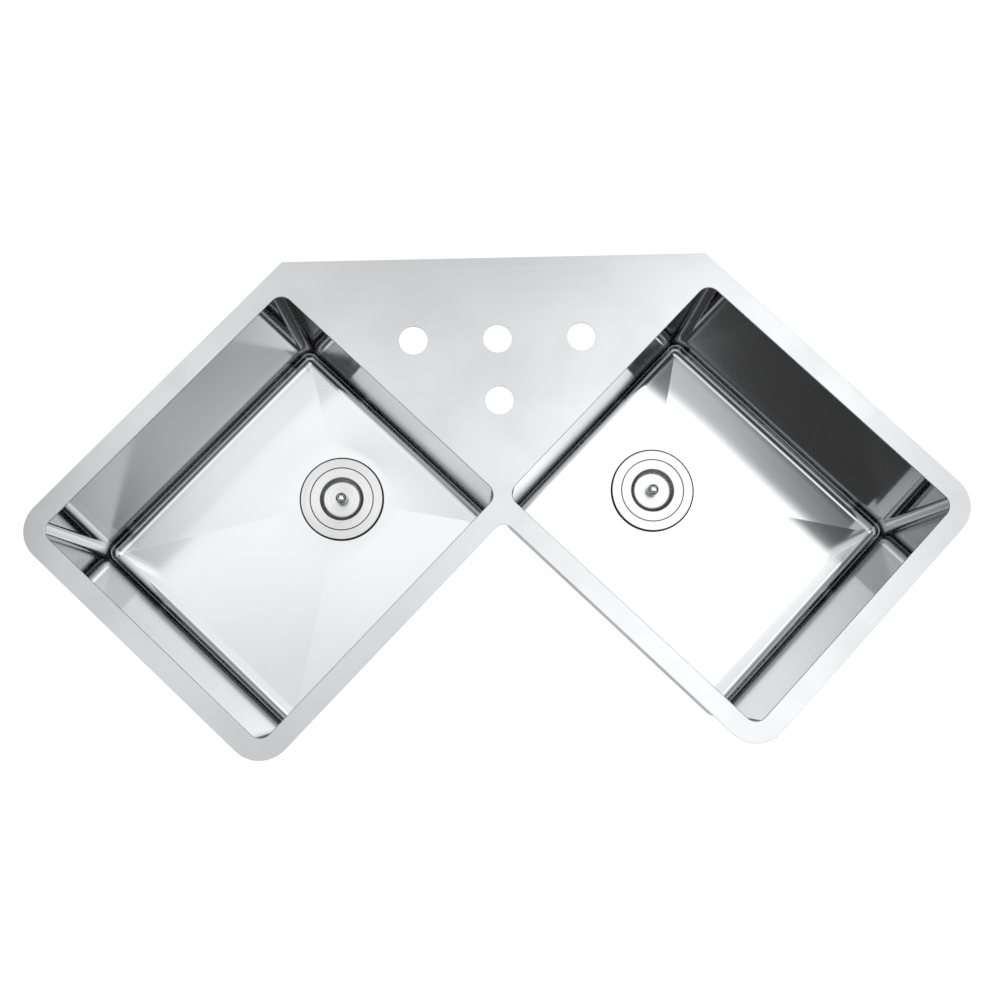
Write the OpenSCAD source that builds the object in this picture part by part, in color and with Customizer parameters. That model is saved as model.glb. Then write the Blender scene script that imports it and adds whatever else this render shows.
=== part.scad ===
// Corner kitchen sink: two square-set bowls under one flat deck, with a strainer in each bowl.
// Millimetres. The origin is the centre of the middle tap hole on the top face of the deck.
// X runs to the right, Y to the back corner of the kitchen, Z up.

/* [Rim] */
// Thickness of the deck sheet
deck_t = 1.5; // [1:0.1:3]
// Width of the flat rim round each bowl
rim_w = 25.4; // [20:0.2:34]
// Narrowest metal between the two bowls
bridge_w = 23; // [18:1:40]
// Radius of the rounded rim corners
rim_r = 40; // [25:1:55]
// Radius of the notch at the front
notch_r = 14; // [6:1:30]
// Distance from the row of tap holes to the back edge
row_to_back = 101.6; // [80:0.2:120]
// Distance from the row of tap holes to where the front edges would meet
row_to_notch = 221; // [205:1:260]

/* [Tap holes] */
// Diameter of each tap hole
tap_hole_d = 35; // [30:0.5:38]
// Spacing of the three holes in the row
tap_pitch = 101.6; // [80:0.2:110]
// Distance from the row to the single hole in front of it
tap_front = 76.2; // [60:0.2:90]

/* [Bowls] */
// Inside length of each bowl, from its outer end to the deck
bowl_l = 400; // [360:5:460]
// Inside width of each bowl
bowl_w = 360; // [320:5:400]
// Depth of each bowl where the walls meet the floor
bowl_depth = 250; // [180:5:300]
// Fall of the creased floor from the walls to the drain
floor_fall = 4; // [2:0.5:8]
// Inside radius of the upright corners
bowl_r = 15; // [10:1:15]
// Inside radius of the bend between wall and floor
foot_r = 15; // [15:1:30]
// Thickness of the bowl sheet
bowl_t = 1.2; // [0.8:0.1:2]
// Distance from the deck side wall to the centre of the drain
drain_setback = 123; // [110:1:160]
// Diameter of the drain hole
drain_d = 92; // [85:0.5:95]
// Diameter of the flat round the drain hole
drain_flat_d = 124; // [122:1:140]

/* [Strainer body] */
// Diameter of the strainer flange
flange_d = 118.4; // [112:0.1:120]
// Width of the sloped edge of the flange
edge_w = 1.6; // [1.5:0.1:3]
// Thickness of the strainer metal
body_t = 1.2; // [1:0.1:1.5]
// Room in the cup under the waste basket
cup_room = 7; // [4:1:20]
// Height of the cone at the bottom of the cup
cone_h = 7; // [4:0.5:12]
// Depth of the ledge that carries the waste basket
ledge_depth = 8; // [7:0.5:10]
// Width of that ledge
ledge_w = 3.4; // [2.5:0.1:5]
// Length of the threaded shank below the bowl floor
shank_l = 30; // [24:1:40]
// Length of the threaded outlet
outlet_l = 20; // [16:1:30]
// Outside diameter of the threaded outlet
outlet_d = 47; // [45:0.5:50]

/* [Gasket, washer, ring and nut] */
// Thickness of the gasket under the flange
gasket_t = 3; // [2:0.1:4]
// Thickness of the rubber washer under the bowl
washer_t = 3; // [2:0.5:4]
// Thickness of the fibre friction ring
ring_t = 1; // [0.5:0.1:1.5]
// Outside diameter of washer and ring
washer_d = 110; // [104:1:116]
// Height of the lock nut
lock_h = 13; // [10:1:16]
// Thickness of the lock nut's top flange
lock_flange_t = 3; // [2:0.5:5]
// Number of lugs on the lock nut
lock_lugs = 8; // [4:1:12]

/* [Tailpiece] */
// Outside diameter of the tailpiece
tail_d = 38.1; // [36:0.1:39]
// Wall of the tailpiece
tail_wall = 1.2; // [0.8:0.1:2]
// Exposed length of the tailpiece
tail_l = 100; // [60:5:200]
// Thickness of the tailpiece flange
tail_flange_t = 1.5; // [1:0.1:2.5]
// Thickness of the tailpiece washer
tail_washer_t = 1.5; // [1:0.1:2.5]
// Height of the coupling nut
coupling_h = 18; // [15:1:24]
// Wall of the coupling nut
coupling_wall = 3.5; // [3:0.1:5]
// Thickness of the lip of the coupling nut
coupling_lip_t = 3; // [2:0.5:5]
// Number of grips on the coupling nut
coupling_grips = 8; // [6:1:12]

/* [Waste basket] */
// Thickness of the basket sheet
basket_t = 0.8; // [0.6:0.1:1.2]
// Depth of the basket below its rim
basket_h = 42; // [34:1:46]
// Taper of the basket wall from rim to bottom
basket_taper = 6; // [4:0.5:9]
// Number of slots in the basket wall
slots = 14; // [8:2:18]
// Width of each slot
slot_w = 3; // [2:0.5:4]
// Height of each slot
slot_h = 24; // [16:1:28]
// Diameter of the holes in the basket bottom
sieve_d = 4; // [3:0.5:5]
// Diameter of the handle bar
bar_d = 3; // [2.5:0.1:4]
// Depth of the handle bar below the basket rim
bar_drop = 9; // [8:0.5:12]

/* [Lid] */
// Thickness of the lid sheet
lid_t = 1; // [0.8:0.1:1.5]
// Diameter of the finger dish at its mouth
dish_d = 61; // [56:1:66]
// Diameter of the finger dish at its floor
dish_floor_d = 51.6; // [44:0.2:54]
// Depth of the finger dish
dish_depth = 7; // [5:0.5:8]
// Height of the rubber seal under the lid
seal_h = 4; // [3:0.5:5]
// Width of the rubber seal
seal_w = 5; // [4:0.5:6]
// Diameter of the ball on the knob
ball_d = 16; // [10:0.5:18]
// Height of the neck under the ball
neck_h = 1.5; // [1:0.5:8]
// Diameter of the neck
neck_d = 5.6; // [5:0.2:8]
// Diameter of the collar under the neck
collar_d = 9; // [8.5:0.5:12]
// Thickness of the collar
collar_t = 1; // [0.6:0.1:2]
// Diameter of the threaded stem
stem_d = 4.5; // [4:0.1:5]
// Height of the nut under the lid
knob_nut_h = 3; // [2:0.5:4]
// Diameter of the nut across its corners
knob_nut_d = 9; // [8:0.5:11]

/* [Sound pads] */
// Thickness of each sound pad
pad_t = 2; // [1.5:0.1:4]
// Height of the pads on the bowl walls
pad_h = 110; // [60:5:140]
// Length of the pads on the long walls
pad_long = 240; // [150:5:260]
// Length of the pads on the short walls
pad_short = 200; // [150:5:220]
// Bare margin round the pads on the floor
pad_margin = 14; // [10:1:25]

/* [Hidden] */
$fn = 96;
ball_fn = 32;
root2 = sqrt(2);
overrun = 1;
// Running gaps between pieces
hole_gap = 0.4;
lid_gap = 0.6;
basket_gap = 0.5;
cup_gap = 0.8;
seal_gap = 0.4;
thread_gap = 0.05;
pipe_gap = 0.3;
lip_gap = 0.3;
washer_gap = 0.4;
weld_gap = 0.05;
// Edges and steps of the strainer body
edge_share = 0.4;
thread_step = 2;
outlet_wall = 4.5;
// Cuts in the lock nut and coupling nut
lug_w = 9;
lug_h = 4;
lock_wall = 8;
grip_w = 7;
grip_h = 2.5;
// Collar that centres the tailpiece in its nut
swage = 0.4;
// Rings of holes in the basket bottom: share of the bottom radius, and holes in each
ring_shares = [0.36, 0.72];
ring_holes = [6, 12];

// Plan of the bowls: a is measured square from the front edge, b along it towards the deck
rim_a = bowl_w + 2 * rim_w;
deck_b = rim_w + 2 * bowl_r - (bridge_w / 2 + bowl_r) * root2;
end_b = deck_b - bowl_l;
rim_b = end_b - rim_w;
back_corner = [rim_a * root2 - row_to_back - row_to_notch, row_to_back];
notch = [0, -row_to_notch];
bowl_mid = spot(rim_w + bowl_w / 2, deck_b - bowl_l / 2);

// Radii and heights of the strainer, measured from the floor at the drain
drain_u = bowl_l / 2 - drain_setback;
drain_r = drain_d / 2;
flange_r = flange_d / 2;
pocket_r = drain_r - hole_gap - body_t;
lid_r = pocket_r - lid_gap;
shank_r = pocket_r + body_t - thread_step;
throat_r = shank_r - body_t;
cup_r = throat_r - ledge_w;
outlet_r = outlet_d / 2;
bore_r = outlet_r - outlet_wall;
flange_top = gasket_t + body_t;
edge_z = edge_share * flange_top;
cup_depth = ledge_depth + basket_h + cup_room + cone_h;
seat_z = flange_top - lid_t;
outlet_z = -cup_depth - outlet_l;
tail_flange_z = outlet_z - tail_washer_t - tail_flange_t;
coupling_z = tail_flange_z - coupling_lip_t;
tail_z = coupling_z - tail_l;
tail_r = tail_d / 2;
basket_z = -ledge_depth - basket_h;
basket_top_r = cup_r - cup_gap;
basket_foot_r = basket_top_r - basket_taper;
washer_z = -bowl_t - washer_t;
ring_z = washer_z - ring_t;
dish_z = flange_top - dish_depth;

// A point of the plan from its a and b, for the right bowl
function spot(a, b) = [(a - b) / root2, (a + b) / root2 - row_to_notch];

function unit(v) = v / norm(v);

// What lies outside the arc of radius r that rounds the corner p between its neighbours
module corner_cut(before, p, after, r) {
    u = unit(before - p);
    v = unit(after - p);
    half = acos(u * v) / 2;
    centre = p + unit(u + v) * r / sin(half);
    past = 1 + overrun / r;
    translate(centre) difference() {
        polygon([
            [0, 0], (p + u * r / tan(half) - centre) * past,
            (p - centre) * past, (p + v * r / tan(half) - centre) * past
        ]);
        circle(r);
    }
}

// The right side is drawn, and the left side is its mirror image
module sided(side) {
    if (side > 0) {
        children();
    } else {
        mirror([1, 0, 0]) children();
    }
}

// Places a piece drawn in a bowl's own frame: X along its length to the deck, Y away from its outer wall
module in_bowl(side) {
    sided(side) translate([bowl_mid.x, bowl_mid.y, 0]) rotate(135) children();
}

// Places a piece drawn about the drain, with Z from the bowl floor there
module at_drain(side) {
    in_bowl(side) translate([drain_u, 0, -bowl_depth - floor_fall]) children();
}

module turned(points) {
    rotate_extrude() polygon(points);
}

module ring(outer_r, inner_r, low, high) {
    turned([[inner_r, low], [outer_r, low], [outer_r, high], [inner_r, high]]);
}

// Deck and bowls
module bowl_outline(side) {
    in_bowl(side) {
        square([bowl_l, bowl_w - 2 * bowl_r], center = true);
        square([bowl_l - 2 * bowl_r, bowl_w], center = true);
        for (u = [-1, 1], v = [-1, 1])
            translate([u * (bowl_l / 2 - bowl_r), v * (bowl_w / 2 - bowl_r)]) circle(bowl_r);
    }
}

// The deck's outer edge, with its four front corners and its notch rounded
module deck_outline() {
    end = spot(rim_a, rim_b);
    front = spot(0, rim_b);
    dip = notch_r / root2;
    difference() {
        polygon([
            back_corner, end, front, notch + [dip, -dip],
            notch - [dip, dip], [-front.x, front.y], [-end.x, end.y], [-back_corner.x, row_to_back]
        ]);
        translate(notch - [0, notch_r * root2]) circle(notch_r);
        for (side = [-1, 1]) sided(side) {
            corner_cut(back_corner, end, front, rim_r);
            corner_cut(end, front, notch, rim_r);
        }
    }
}

module tap_hole(x, y) {
    translate([x, y, -deck_t - overrun]) cylinder(d = tap_hole_d, h = deck_t + 2 * overrun);
}

module deck() {
    color("silver") difference() {
        translate([0, 0, -deck_t]) linear_extrude(deck_t) difference() {
            deck_outline();
            bowl_outline(-1);
            bowl_outline(1);
        }
        for (i = [-1:1]) tap_hole(i * tap_pitch, 0);
        tap_hole(0, -tap_front);
    }
}

// The inside of a bowl grown by a thickness: upright walls, round foot and a floor creased to the drain
module bowl_form(grow, top) {
    hull() for (u = [-1, 1], v = [-1, 1]) {
        translate([u * (bowl_l / 2 - foot_r), v * (bowl_w / 2 - foot_r), foot_r - bowl_depth])
            sphere(foot_r + grow, $fn = ball_fn);
        translate([u * (bowl_l / 2 - bowl_r), v * (bowl_w / 2 - bowl_r), foot_r - bowl_depth])
            cylinder(r = bowl_r + grow, h = top + bowl_depth - foot_r, $fn = ball_fn);
    }
    hull() {
        translate([foot_r - bowl_l / 2, foot_r - bowl_w / 2, -bowl_depth - grow])
            cube([bowl_l - 2 * foot_r, bowl_w - 2 * foot_r, overrun]);
        translate([drain_u, 0, -bowl_depth - floor_fall - grow])
            cylinder(d = drain_flat_d, h = overrun);
    }
}

module bowl(side) {
    color("gainsboro") in_bowl(side) difference() {
        bowl_form(bowl_t, -deck_t);
        bowl_form(0, overrun);
        translate([drain_u, 0, -bowl_depth - floor_fall - bowl_t - overrun])
            cylinder(d = drain_d, h = floor_fall + bowl_t + 2 * overrun);
    }
}

// Sound pads: three under the floor round the drain, and one on each wall
module floor_pads(side) {
    near = drain_u - drain_flat_d / 2 - pad_margin / 2;
    far = foot_r + pad_margin - bowl_l / 2;
    edge_v = bowl_w / 2 - foot_r - pad_margin;
    edge_u = bowl_l / 2 - foot_r - pad_margin;
    flat_v = drain_flat_d / 2 + pad_margin / 2;
    low = -bowl_depth - floor_fall - bowl_t - pad_t - overrun;
    high = floor_fall + bowl_t + pad_t + 2 * overrun;
    color("dimgray") in_bowl(side) difference() {
        intersection() {
            bowl_form(bowl_t + pad_t, -bowl_depth / 2);
            union() {
                translate([far, -edge_v, low]) cube([near - far, 2 * edge_v, high]);
                for (v = [flat_v, -edge_v])
                    translate([near + pad_margin, v, low])
                        cube([edge_u - near - pad_margin, edge_v - flat_v, high]);
            }
        }
        bowl_form(bowl_t, -bowl_depth / 2);
    }
}

module side_pads(side) {
    low = -(bowl_depth + pad_h) / 2;
    color("dimgray") in_bowl(side) {
        for (v = [bowl_w / 2 + bowl_t, -bowl_w / 2 - bowl_t - pad_t])
            translate([-pad_long / 2, v, low]) cube([pad_long, pad_t, pad_h]);
        for (u = [bowl_l / 2 + bowl_t, -bowl_l / 2 - bowl_t - pad_t])
            translate([u, -pad_short / 2, low]) cube([pad_t, pad_short, pad_h]);
    }
}

// Strainer, fixed pieces
module strainer_body(side) {
    cone_z = cone_h - cup_depth;
    color("silver") at_drain(side) turned([
        [flange_r, lip_gap], [flange_r, edge_z],
        [flange_r - edge_w, flange_top], [pocket_r, flange_top],
        [pocket_r, seat_z], [throat_r, seat_z],
        [throat_r, -ledge_depth], [cup_r, -ledge_depth],
        [cup_r, cone_z], [bore_r, -cup_depth],
        [bore_r, outlet_z], [outlet_r, outlet_z],
        [outlet_r, -cup_depth - body_t], [cup_r + body_t, cone_z - body_t],
        [cup_r + body_t, -shank_l], [shank_r, -shank_l],
        [shank_r, seat_z - body_t], [pocket_r + body_t, seat_z - body_t],
        [pocket_r + body_t, gasket_t], [flange_r - edge_w - body_t, gasket_t],
        [flange_r - body_t, edge_z], [flange_r - body_t, lip_gap]
    ]);
}

module flange_gasket(side) {
    color("black") at_drain(side)
        ring(flange_r - edge_w - body_t - washer_gap, drain_r + washer_gap, 0, gasket_t);
}

module rubber_washer(side) {
    color("black") at_drain(side)
        ring(washer_d / 2, shank_r + washer_gap, washer_z, -bowl_t);
}

module friction_ring(side) {
    color("tan") at_drain(side)
        ring(washer_d / 2, shank_r + washer_gap, ring_z, washer_z);
}

module lock_nut(side) {
    nut_r = shank_r + thread_gap + lock_wall;
    low = ring_z - lock_h;
    color("whitesmoke") at_drain(side) difference() {
        union() {
            ring(nut_r, shank_r + thread_gap, low, ring_z);
            ring(washer_d / 2, shank_r + thread_gap, ring_z - lock_flange_t, ring_z);
            for (i = [1:lock_lugs]) rotate(360 * i / lock_lugs)
                translate([nut_r - overrun, -lug_w / 2, low]) cube([lug_h, lug_w, lock_h - lock_flange_t / 2]);
        }
        translate([0, 0, low - overrun]) cylinder(r = shank_r + thread_gap, h = lock_h + 2 * overrun);
    }
}

module tail_washer(side) {
    color("white") at_drain(side)
        ring(outlet_r - pipe_gap, bore_r + pipe_gap, outlet_z - tail_washer_t, outlet_z);
}

module tailpiece(side) {
    inner_r = tail_r - tail_wall;
    color("silver") at_drain(side) turned([
        [inner_r, tail_z], [tail_r, tail_z],
        [tail_r, coupling_z], [tail_r + swage, coupling_z],
        [tail_r + swage, tail_flange_z], [outlet_r - pipe_gap, tail_flange_z],
        [outlet_r - pipe_gap, outlet_z - tail_washer_t], [inner_r, outlet_z - tail_washer_t]
    ]);
}

module coupling_nut(side) {
    nut_r = outlet_r + thread_gap + coupling_wall;
    high = coupling_z + coupling_h;
    lip_r = tail_r + swage + pipe_gap;
    color("whitesmoke") at_drain(side) difference() {
        union() {
            ring(nut_r, lip_r, coupling_z, high);
            for (i = [1:coupling_grips]) rotate(360 * i / coupling_grips)
                translate([nut_r - grip_h / 2, -grip_w / 2, coupling_z]) cube([grip_h, grip_w, coupling_h]);
        }
        translate([0, 0, tail_flange_z]) cylinder(r = outlet_r + thread_gap, h = coupling_h + overrun);
    }
}

// Waste basket that lifts out of the strainer
module basket_inside(trim) {
    turned([
        [0, basket_z + basket_t], [basket_foot_r - basket_t - trim, basket_z + basket_t],
        [basket_top_r - basket_t - trim, -ledge_depth + basket_t], [0, -ledge_depth + basket_t]
    ]);
}

module basket(side) {
    slot_low = (basket_z - ledge_depth - slot_h) / 2;
    color("silver") at_drain(side) difference() {
        turned([
            [0, basket_z], [basket_foot_r, basket_z],
            [basket_top_r, -ledge_depth], [throat_r - basket_gap, -ledge_depth],
            [throat_r - basket_gap, -ledge_depth + basket_t], [0, -ledge_depth + basket_t]
        ]);
        basket_inside(0);
        for (i = [1:slots]) rotate(360 * (i - 0.5) / slots)
            translate([basket_foot_r / 2, -slot_w / 2, slot_low]) cube([basket_top_r, slot_w, slot_h]);
        for (k = [0:len(ring_shares) - 1], i = [1:ring_holes[k]]) rotate(360 * i / ring_holes[k])
            translate([ring_shares[k] * basket_foot_r, 0, basket_z - overrun])
                cylinder(d = sieve_d, h = basket_t + 2 * overrun, $fn = ball_fn);
    }
}

module basket_handle(side) {
    color("silver") at_drain(side) intersection() {
        basket_inside(weld_gap);
        translate([-basket_top_r, 0, -ledge_depth - bar_drop])
            rotate([0, 90, 0]) cylinder(d = bar_d, h = 2 * basket_top_r, $fn = ball_fn);
    }
}

// Lid that closes the strainer
module lid(side) {
    stem_hole_r = stem_d / 2 + pipe_gap;
    color("silver") at_drain(side) turned([
        [stem_hole_r, dish_z], [dish_floor_d / 2, dish_z],
        [dish_d / 2, flange_top], [lid_r, flange_top],
        [lid_r, seat_z], [dish_d / 2 + lid_t, seat_z],
        [dish_floor_d / 2 + lid_t, dish_z - lid_t], [stem_hole_r, dish_z - lid_t]
    ]);
}

module lid_seal(side) {
    outer_r = throat_r - seal_gap;
    color("black") at_drain(side) turned([
        [outer_r - seal_w, seat_z], [outer_r - seal_w, seat_z - seal_h],
        [outer_r - seal_w / 2, seat_z - seal_h], [outer_r, seat_z - seal_h / 2],
        [outer_r, seat_z]
    ]);
}

module lid_knob(side) {
    neck_z = dish_z + collar_t;
    ball_z = neck_z + neck_h + ball_d / 2;
    color("white") at_drain(side) {
        translate([0, 0, ball_z]) sphere(d = ball_d);
        translate([0, 0, dish_z]) cylinder(d = collar_d, h = collar_t);
        translate([0, 0, neck_z]) cylinder(d = neck_d, h = neck_h + ball_d / 2);
        translate([0, 0, dish_z - lid_t - knob_nut_h - overrun])
            cylinder(d = stem_d, h = lid_t + knob_nut_h + collar_t + overrun);
    }
}

module knob_nut(side) {
    color("silver") at_drain(side) translate([0, 0, dish_z - lid_t - knob_nut_h]) difference() {
        cylinder(d = knob_nut_d, h = knob_nut_h, $fn = 6);
        translate([0, 0, -overrun]) cylinder(r = stem_d / 2 + thread_gap, h = knob_nut_h + 2 * overrun);
    }
}

deck();
bowl(-1);  // left_bowl
bowl(1);  // right_bowl
floor_pads(-1);  // left_floor_pads
floor_pads(1);  // right_floor_pads
side_pads(-1);  // left_side_pads
side_pads(1);  // right_side_pads
flange_gasket(-1);  // left_flange_gasket
flange_gasket(1);  // right_flange_gasket
strainer_body(-1);  // left_strainer_body
strainer_body(1);  // right_strainer_body
rubber_washer(-1);  // left_rubber_washer
rubber_washer(1);  // right_rubber_washer
friction_ring(-1);  // left_friction_ring
friction_ring(1);  // right_friction_ring
lock_nut(-1);  // left_lock_nut
lock_nut(1);  // right_lock_nut
tail_washer(-1);  // left_tail_washer
tail_washer(1);  // right_tail_washer
tailpiece(-1);  // left_tailpiece
tailpiece(1);  // right_tailpiece
coupling_nut(-1);  // left_coupling_nut
coupling_nut(1);  // right_coupling_nut
basket(-1);  // left_basket
basket(1);  // right_basket
basket_handle(-1);  // left_basket_handle
basket_handle(1);  // right_basket_handle
lid(-1);  // left_lid
lid(1);  // right_lid
lid_seal(-1);  // left_lid_seal
lid_seal(1);  // right_lid_seal
lid_knob(-1);  // left_lid_knob
lid_knob(1);  // right_lid_knob
knob_nut(-1);  // left_knob_nut
knob_nut(1);  // right_knob_nut
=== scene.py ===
"""Looks of the corner kitchen sink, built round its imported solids. Metres, in the part's own frame."""

from math import asin, atan2, copysign, cos, dist, hypot, pi, radians, sin, sqrt, tan

import bpy
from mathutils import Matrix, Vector, geometry


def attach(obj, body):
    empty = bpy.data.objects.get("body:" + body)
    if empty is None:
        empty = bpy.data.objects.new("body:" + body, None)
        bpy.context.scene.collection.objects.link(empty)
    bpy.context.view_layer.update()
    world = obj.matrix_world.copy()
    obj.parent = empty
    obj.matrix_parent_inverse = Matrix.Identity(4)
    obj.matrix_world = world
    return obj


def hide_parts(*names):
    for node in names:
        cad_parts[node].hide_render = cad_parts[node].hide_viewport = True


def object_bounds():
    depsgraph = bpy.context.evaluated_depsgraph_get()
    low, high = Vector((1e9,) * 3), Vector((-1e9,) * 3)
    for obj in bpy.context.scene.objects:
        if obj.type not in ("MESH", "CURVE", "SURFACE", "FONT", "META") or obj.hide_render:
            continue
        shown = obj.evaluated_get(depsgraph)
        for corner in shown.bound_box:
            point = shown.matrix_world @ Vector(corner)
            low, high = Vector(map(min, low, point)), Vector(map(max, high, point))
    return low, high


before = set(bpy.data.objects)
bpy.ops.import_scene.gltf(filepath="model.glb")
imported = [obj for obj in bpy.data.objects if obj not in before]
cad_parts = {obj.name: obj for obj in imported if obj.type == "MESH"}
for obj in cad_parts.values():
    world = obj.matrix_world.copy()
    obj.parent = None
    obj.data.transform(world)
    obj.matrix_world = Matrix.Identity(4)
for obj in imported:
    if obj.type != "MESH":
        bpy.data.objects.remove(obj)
cad_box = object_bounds()

MM = 0.001
ROOT2 = sqrt(2)
SIDES = {-1: "left", 1: "right"}

# Plan and section of the sink, in millimetres as in the part
RIM_W = 25.4
BRIDGE_W = 23
RIM_R = 40
NOTCH_R = 14
ROW_TO_BACK = 101.6
ROW_TO_NOTCH = 221
TAP_R = 17.5
TAP_PITCH = 101.6
TAP_FRONT = 76.2
DECK_T = 1.5
BOWL_L = 400
BOWL_W = 360
BOWL_DEPTH = 250
FLOOR_FALL = 4
BOWL_R = 15
FOOT_R = 15
BOWL_T = 1.2
DRAIN_U = BOWL_L / 2 - 123
DRAIN_R = 46
FLAT_R = 62
FLOOR_Z = -BOWL_DEPTH - FLOOR_FALL

RIM_A = BOWL_W + 2 * RIM_W
DECK_B = RIM_W + 2 * BOWL_R - (BRIDGE_W / 2 + BOWL_R) * ROOT2
RIM_B = DECK_B - BOWL_L - RIM_W
BACK_X = RIM_A * ROOT2 - ROW_TO_BACK - ROW_TO_NOTCH
MID_A = RIM_W + BOWL_W / 2
MID_B = DECK_B - BOWL_L / 2

# Small rounds of the sheet's edges, and the steps of arcs
SHEET_EDGE_R = 0.4
MOUTH_EDGE_R = 1.0
TAP_EDGE_R = 0.3
UNDER_EDGE_R = 0.25
RIM_STEPS = 11
NOTCH_STEPS = 16
CORNER_STEPS = 12
BEND_STEPS = 24
SIDE_STEPS = 36
TAP_STEPS = 72
PROFILE_STEPS = 4
QUARTERS = ((1, 1, 0), (-1, 1, 90), (-1, -1, 180), (1, -1, 270))


def spot(a, b, side):
    """A point of the plan: a square from the front edge, b along it to the deck."""
    return (side * (a - b) / ROOT2, (a + b) / ROOT2 - ROW_TO_NOTCH)


def in_bowl(side, u, v):
    """A point of the plan from a bowl's own frame: u along it to the deck, v to its outer wall."""
    return spot(MID_A + v, MID_B + u, side)


def turn_bowl(side, u, v):
    """A direction of a bowl's own frame in the part's frame."""
    return (side * (v - u) / ROOT2, (u + v) / ROOT2)


def rotated(vector, angle):
    """A plane vector turned counterclockwise."""
    c, s = cos(angle), sin(angle)
    return Vector((vector.x * c - vector.y * s, vector.x * s + vector.y * c))


def add_object(name, data):
    obj = bpy.data.objects.new(name, data)
    bpy.context.scene.collection.objects.link(obj)
    return obj


DRAINS = {side: in_bowl(side, DRAIN_U, 0) for side in SIDES}


class Skin:
    """A mesh in the making, in millimetres: welded points, and faces with exact normals and a map."""

    def __init__(self):
        self.points = []
        self.found = {}
        self.faces = []
        self.corners = []
        self.paint = 0
        self.paints = []

    def point(self, place):
        key = tuple(round(size * 2000) for size in place)
        if key not in self.found:
            self.found[key] = len(self.points)
            self.points.append(tuple(size * MM for size in place))
        return self.found[key]

    def face(self, corners):
        """Corners are (place, normal, map place). The face turns to the side that its normals point to."""
        kept = {}
        for place, normal, uv in corners:
            kept.setdefault(self.point(place), (normal, uv))
        if len(kept) < 3:
            return
        indices = list(kept)
        places = [Vector(self.points[index]) for index in indices]
        if len(places) > 3:
            flat = geometry.normal(places)
        else:
            flat = (places[1] - places[0]).cross(places[2] - places[0])
        if flat.dot(sum((Vector(normal) for normal, _ in kept.values()), Vector())) < 0:
            indices.reverse()
        self.faces.append(indices)
        self.paints.append(self.paint)
        self.corners.extend(kept[index] for index in indices)

    def grid(self, rows, wrap=False):
        """Quads between rows of (place, normal, map place)."""
        for low, high in zip(rows, rows[1:]):
            for i in range(len(low) if wrap else len(low) - 1):
                k = (i + 1) % len(low)
                self.face([low[i], low[k], high[k], high[i]])

    def take(self, mesh, carry):
        """Takes in a finished mesh; carry gives its corners in the part's frame."""
        layer = mesh.uv_layers[0].data if mesh.uv_layers else None
        for face in mesh.polygons:
            corners = []
            for loop in face.loop_indices:
                place = mesh.vertices[mesh.loops[loop].vertex_index].co / MM
                uv = layer[loop].uv / MM if layer else place
                corners.append(carry(place, mesh.corner_normals[loop].vector, uv))
            self.face(corners)

    def build(self, name, *finishes):
        mesh = bpy.data.meshes.new(name)
        mesh.from_pydata(self.points, [], self.faces)
        mesh.update()
        layer = mesh.uv_layers.new(name="brush")
        for loop, (_, uv) in zip(layer.data, self.corners):
            loop.uv = (uv[0] * MM, uv[1] * MM)
        mesh.polygons.foreach_set("use_smooth", [True] * len(mesh.polygons))
        mesh.normals_split_custom_set([Vector(normal).normalized() for normal, _ in self.corners])
        for finish in finishes:
            mesh.materials.append(finish)
        mesh.polygons.foreach_set("material_index", self.paints)
        return add_object(name, mesh)


# Profiles for turned pieces


def rounded_profile(corners, steps=PROFILE_STEPS):
    """Strips of a closed outline of (r, z, radius), counterclockwise, each as two (place, normal)."""
    arcs = []
    for i, (*_, radius) in enumerate(corners):
        before, here, after = (Vector(corners[k % len(corners)][:2]) for k in (i - 1, i, i + 1))
        back = (before - here).normalized()
        on = (after - here).normalized()
        first = Vector((-back.y, back.x))
        last = Vector((on.y, -on.x))
        if radius <= 0 or abs(back.dot(on)) > 0.9999:
            arcs.append([(here, first), (here, last)])
            continue
        bulge = radius if back.cross(on) < 0 else -radius
        centre = here + back * (radius / tan(back.angle(on) / 2)) - first * bulge
        swing = atan2(first.cross(last), first.dot(last))
        normals = [rotated(first, swing * k / steps) for k in range(steps + 1)]
        arcs.append([(centre + normal * bulge, normal) for normal in normals])
    strips = []
    for arc, following in zip(arcs, arcs[1:] + arcs[:1]):
        if (arc[0][0] - arc[-1][0]).length > 1e-9:
            strips.extend(zip(arc, arc[1:]))
        strips.append((arc[-1], following[0]))
    return strips


def turn(skin, strips, centre, segments=96, drop=FLOOR_Z, start=0.0, end=2 * pi):
    """Turns strips about an upright axis through centre."""
    travelled = 0.0
    for (p, n), (q, m) in strips:
        length = (q - p).length
        if length < 1e-7:
            continue
        rows = []
        for place, normal, along in ((p, n, travelled), (q, m, travelled + length)):
            row = []
            for k in range(segments + 1):
                angle = start + (end - start) * k / segments
                c, s = cos(angle), sin(angle)
                row.append((
                    (centre[0] + place.x * c, centre[1] + place.x * s, drop + place.y),
                    (normal.x * c, normal.x * s, normal.y),
                    (angle * max(p.x, q.x), along),
                ))
            rows.append(row)
        skin.grid(rows)
        travelled += length


def make_turned(side, profile, segments=96, takes_shade_paint=lambda middle: False):
    """Turns a profile about a drain, with the strips that the given test picks in the second finish: on the
    strainer, a dark paint that stands for shade.
    """
    skin = Skin()
    strips = rounded_profile(profile)
    for paint in (0, 1):
        skin.paint = paint
        chosen = [strip for strip in strips if takes_shade_paint((strip[0][0] + strip[1][0]) / 2) == bool(paint)]
        turn(skin, chosen, DRAINS[side], segments)
    skin.paint = 0
    return skin


# Outlines for flat plates: lists of (place, outward normal), with the metal on the left


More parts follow.
